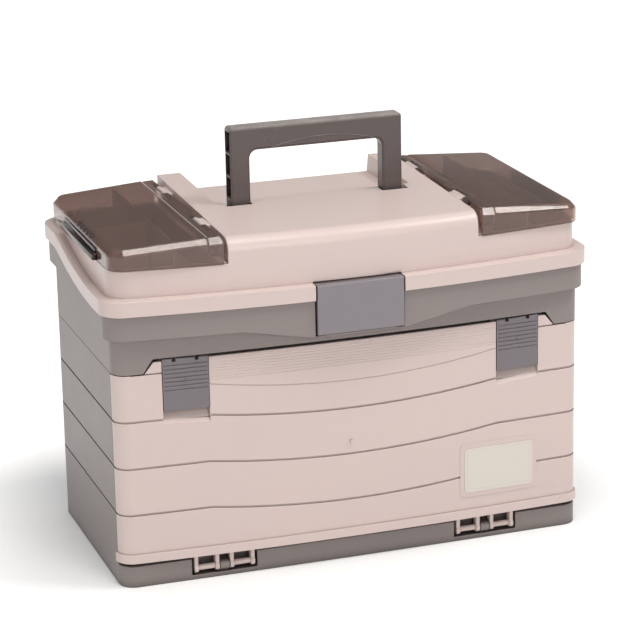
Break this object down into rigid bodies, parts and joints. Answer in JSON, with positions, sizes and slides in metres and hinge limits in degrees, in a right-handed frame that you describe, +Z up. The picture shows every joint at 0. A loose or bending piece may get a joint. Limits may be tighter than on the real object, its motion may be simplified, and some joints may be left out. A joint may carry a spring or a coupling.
{
  "type": "fishing tackle cabinet",
  "caption": "Fishing tackle cabinet: stacked drawers behind a drop-down bowed front door, bulk tray, latched lid with two smoky-lidded accessory bays and a folding handle.",
  "frame": {"origin": "on the resting plane, under the middle of the drawer frames", "axes": "+X to the right of someone facing the door, -Y towards them, +Z up"},
  "size_m": [0.54, 0.3041, 0.457],
  "materials": {
    "sandstone": "satin moulded plastic, pinkish sand",
    "graphite": "satin moulded plastic, warm dark grey",
    "latch_grey": "satin moulded plastic, blue grey",
    "smoke": "clear smoky brown plastic",
    "drawer_sand": "satin moulded plastic",
    "divider": "matte sheet",
    "steel": "bright drawn wire",
    "plain_label": "plain glossy sticker"
  },
  "bodies": {
    "case": {"base_frame": "graphite", "lower_frame": "graphite", "middle_frame": "graphite", "upper_frame": "graphite", "top_tray": "graphite", "lid_hinge_rod_left": "steel", "lid_hinge_rod_right": "steel"},
    "lid": {"lid": "sandstone", "left_bay_tub": "sandstone", "right_bay_tub": "sandstone", "left_bay_dividers": "divider", "right_bay_divider": "divider", "handle_pins": "steel", "left_cover_pins": "steel", "right_cover_pins": "steel"},
    "handle": {"handle": "graphite"},
    "left_cover": {"left_cover": "smoke"},
    "right_cover": {"right_cover": "smoke"},
    "centre_latch": {"centre_latch": "latch_grey"},
    "door": {"front_door": "sandstone", "label_plate": "plain_label"},
    "door_latch_left": {"door_latch_left": "latch_grey"},
    "door_latch_right": {"door_latch_right": "latch_grey"},
    "drawer_1": {"drawer_1": "drawer_sand", "drawer_1_dividers": "divider"},
    "drawer_2": {"drawer_2": "drawer_sand", "drawer_2_dividers": "divider"},
    "drawer_3": {"drawer_3": "drawer_sand", "drawer_3_dividers": "divider"},
    "drawer_4": {"drawer_4": "drawer_sand", "drawer_4_dividers": "divider"}
  },
  "joints": [
    {"name": "lid_hinge", "type": "hinge", "parent": "case", "child": "lid", "pos_m": [0, 0.1437, 0.3225], "axis": [-1, 0, 0], "range_deg": [0, 100]},
    {"name": "handle_fold", "type": "hinge", "parent": "lid", "child": "handle", "pos_m": [0, -0.0108, 0.3681], "axis": [-1, 0, 0], "range_deg": [0, 90]},
    {"name": "left_cover_hinge", "type": "hinge", "parent": "lid", "child": "left_cover", "pos_m": [-0.1455, 0, 0.37], "axis": [0, 1, 0], "range_deg": [0, 100]},
    {"name": "right_cover_hinge", "type": "hinge", "parent": "lid", "child": "right_cover", "pos_m": [0.1455, 0, 0.37], "axis": [0, -1, 0], "range_deg": [0, 100]},
    {"name": "centre_latch_hinge", "type": "hinge", "parent": "lid", "child": "centre_latch", "pos_m": [0, -0.15105, 0.309], "axis": [-1, 0, 0], "range_deg": [0, 70]},
    {"name": "door_hinge", "type": "hinge", "parent": "case", "child": "door", "pos_m": [0, -0.126, 0.012], "axis": [1, 0, 0], "range_deg": [0, 88]},
    {"name": "door_latch_left_hinge", "type": "hinge", "parent": "door", "child": "door_latch_left", "pos_m": [-0.185, -0.1279, 0.237], "axis": [-1, 0, 0], "range_deg": [0, 40]},
    {"name": "door_latch_right_hinge", "type": "hinge", "parent": "door", "child": "door_latch_right", "pos_m": [0.185, -0.1279, 0.237], "axis": [-1, 0, 0], "range_deg": [0, 40]},
    {"name": "drawer_1_slide", "type": "slide", "parent": "case", "child": "drawer_1", "axis": [0, -1, 0], "range_m": [0, 0.055]},
    {"name": "drawer_2_slide", "type": "slide", "parent": "case", "child": "drawer_2", "axis": [0, -1, 0], "range_m": [0, 0.15]},
    {"name": "drawer_3_slide", "type": "slide", "parent": "case", "child": "drawer_3", "axis": [0, -1, 0], "range_m": [0, 0.191]},
    {"name": "drawer_4_slide", "type": "slide", "parent": "case", "child": "drawer_4", "axis": [0, -1, 0], "range_m": [0, 0.191]}
  ],
  "couplings": [
    {"joint": "drawer_1_slide", "follows": "door_hinge", "m_per_rad": 0.035159},
    {"joint": "drawer_2_slide", "follows": "door_hinge", "m_per_rad": 0.097012},
    {"joint": "drawer_3_slide", "follows": "door_hinge", "m_per_rad": 0.12371},
    {"joint": "drawer_4_slide", "follows": "door_hinge", "m_per_rad": 0.12371}
  ]
}
